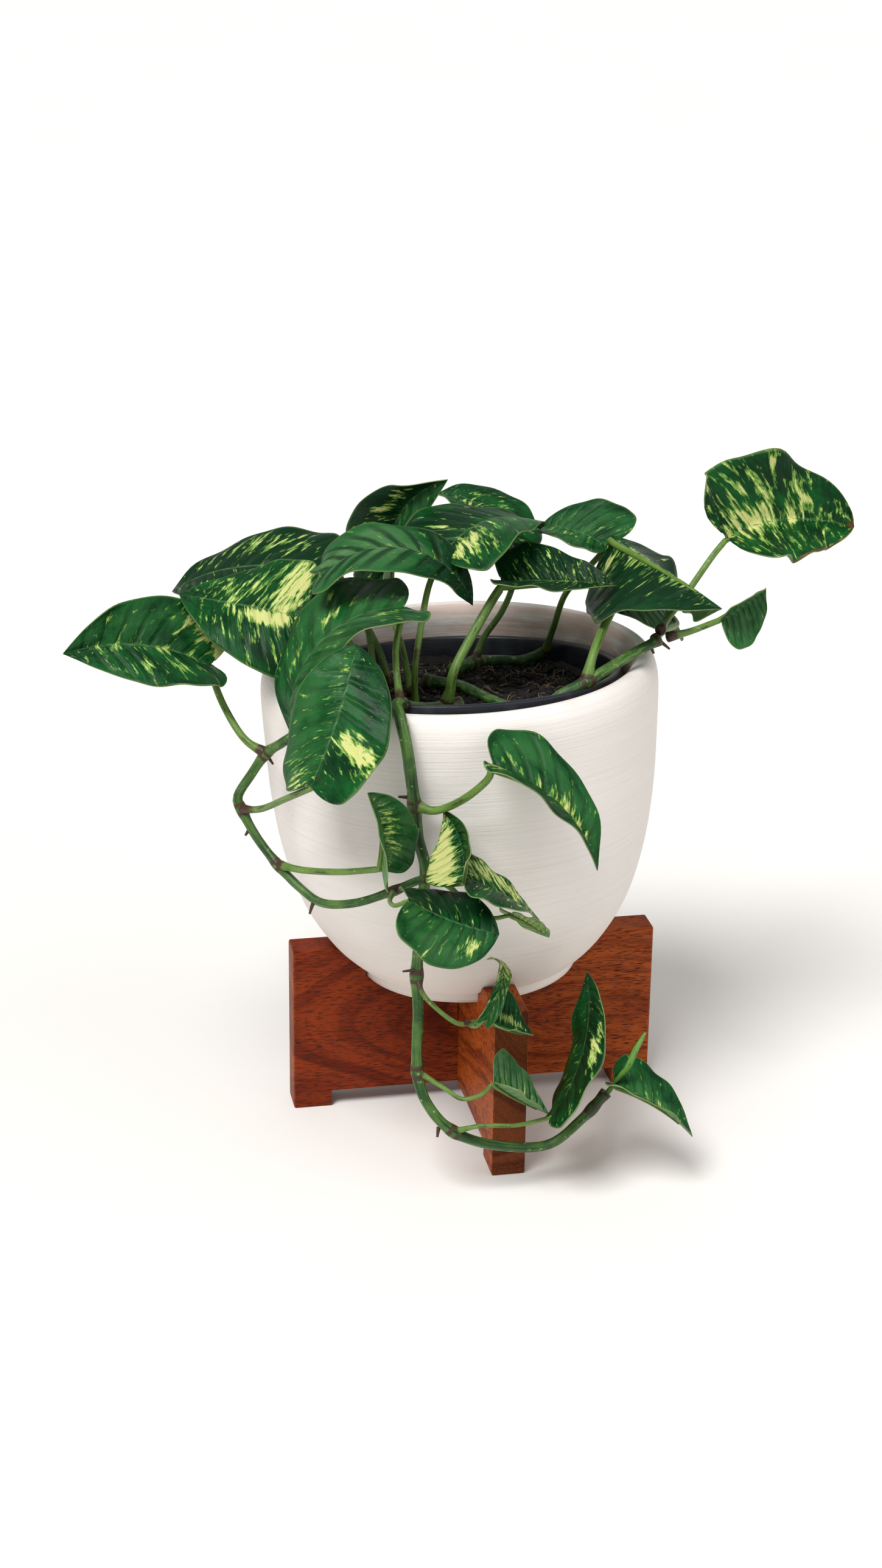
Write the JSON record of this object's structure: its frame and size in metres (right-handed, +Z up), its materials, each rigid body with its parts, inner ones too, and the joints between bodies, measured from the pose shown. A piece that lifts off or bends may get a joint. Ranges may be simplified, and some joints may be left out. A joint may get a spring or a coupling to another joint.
{
  "type": "potted trailing plant",
  "caption": "Trailing heart-leaved vine in a rounded whitewashed pot with an inner nursery pot and soil, standing on a low stand of crossed wooden boards.",
  "frame": {"origin": "on the floor under the middle of the plant's outline", "axes": "+Z up; the front, where the long vine hangs, faces -Y; +X to the right seen from the front"},
  "size_m": [0.4347, 0.2977, 0.3744],
  "materials": {
    "hardwood": "oiled red-brown hardwood",
    "whitewashed_clay": "brushed whitewash over fired clay",
    "black_plastic": "thin dark nursery plastic",
    "potting_soil": "loose dark soil",
    "green_stem": "smooth living stem",
    "green_leaf": "waxy variegated leaf"
  },
  "bodies": {
    "root": {"back_runner": "green_stem", "front_vine": "green_stem", "leaf_back_centre": "green_leaf", "leaf_back_left": "green_leaf", "leaf_back_tall": "green_leaf", "leaf_behind_saddle": "green_leaf", "leaf_big_droop": "green_leaf", "leaf_centre_heart": "green_leaf", "leaf_cream_left": "green_leaf", "leaf_cream_right": "green_leaf", "leaf_cream_sail": "green_leaf", "leaf_dark_fold": "green_leaf", "leaf_far_left": "green_leaf", "leaf_far_right": "green_leaf", "leaf_front_centre": "green_leaf", "leaf_front_heart": "green_leaf", "leaf_front_small": "green_leaf", "leaf_lower_curl": "green_leaf", "leaf_lower_pale": "green_leaf", "leaf_lower_right": "green_leaf", "leaf_lower_tall": "green_leaf", "leaf_lower_wing": "green_leaf", "leaf_pale_under": "green_leaf", "leaf_pot_front_right": "green_leaf", "leaf_right_back": "green_leaf", "leaf_saddle": "green_leaf", "leaf_small_right": "green_leaf", "leaf_striped_arch": "green_leaf", "left_vine": "green_stem", "nursery_pot": "black_plastic", "old_stem": "green_stem", "petiole_back_centre": "green_stem", "petiole_back_left": "green_stem", "petiole_back_tall": "green_stem", "petiole_big_droop": "green_stem", "petiole_centre": "green_stem", "petiole_cream_left": "green_stem", "petiole_dark_fold": "green_stem", "petiole_far_left": "green_stem", "petiole_far_right": "green_stem", "petiole_front_centre": "green_stem", "petiole_front_heart": "green_stem", "petiole_front_small": "green_stem", "petiole_lower_pale": "green_stem", "petiole_lower_tall": "green_stem", "petiole_lower_wing": "green_stem", "petiole_pale_under": "green_stem", "petiole_pot_front": "green_stem", "petiole_right_back": "green_stem", "petiole_saddle": "green_stem", "petiole_small_right": "green_stem", "petiole_striped": "green_stem", "pot": "whitewashed_clay", "right_vine": "green_stem", "soil": "potting_soil", "stand_board_cross": "hardwood", "stand_board_long": "hardwood"}
  },
  "joints": []
}
